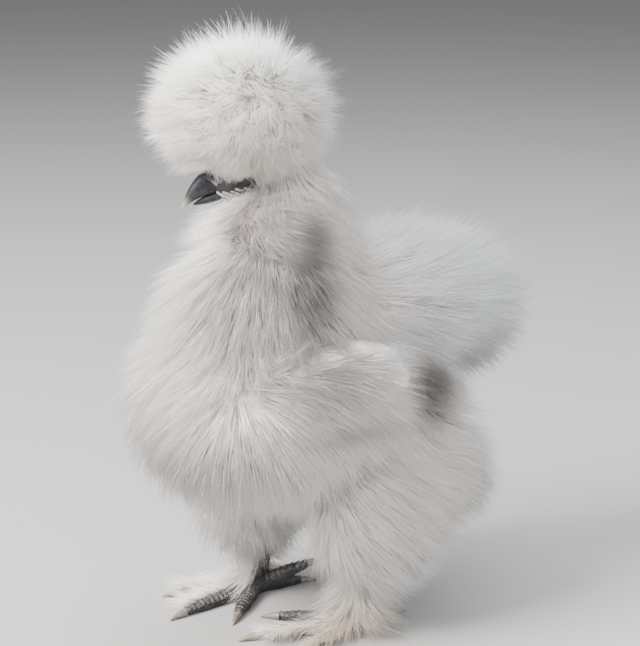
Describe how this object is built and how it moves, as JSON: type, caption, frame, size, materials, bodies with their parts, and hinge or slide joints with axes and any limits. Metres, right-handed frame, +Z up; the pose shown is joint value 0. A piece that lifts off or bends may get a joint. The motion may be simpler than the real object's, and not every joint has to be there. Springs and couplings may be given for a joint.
{
  "type": "silkie chicken figure",
  "caption": "White bearded silkie hen standing still, with a round crest, a full beard, feathered feet and loose, fur-like plumage over the whole body.",
  "frame": {"origin": "on the floor, under the middle of the bird's bounding box", "axes": "+Z up, -Y the way the body faces, +X towards the bird's own left side"},
  "size_m": [0.1426, 0.218, 0.2763],
  "materials": {
    "plumage": "soft, matte, warm white",
    "saddle_plumage": "soft, matte, cool white",
    "skin": "satin, dark slate",
    "foot_skin": "scaled, satin, slate",
    "beak_horn": "satin horn, slate at the root and paler at the tip",
    "eye": "wet gloss",
    "claw_horn": "satin horn"
  },
  "bodies": {
    "root": {"head": "skin", "beak_upper": "beak_horn", "beak_lower": "beak_horn", "eye_left": "eye", "eye_right": "eye", "crest": "plumage", "beard": "plumage", "neck": "plumage", "torso": "plumage", "wing_left": "plumage", "wing_right": "plumage", "cushion": "saddle_plumage", "tail": "saddle_plumage", "thigh_left": "plumage", "thigh_right": "plumage", "foot_left": "foot_skin", "claw_left_inner": "claw_horn", "claw_left_middle": "claw_horn", "claw_left_outer": "claw_horn", "claw_left_hind": "claw_horn", "claw_left_fifth": "claw_horn", "foot_right": "foot_skin", "claw_right_inner": "claw_horn", "claw_right_middle": "claw_horn", "claw_right_outer": "claw_horn", "claw_right_hind": "claw_horn", "claw_right_fifth": "claw_horn"}
  },
  "joints": []
}
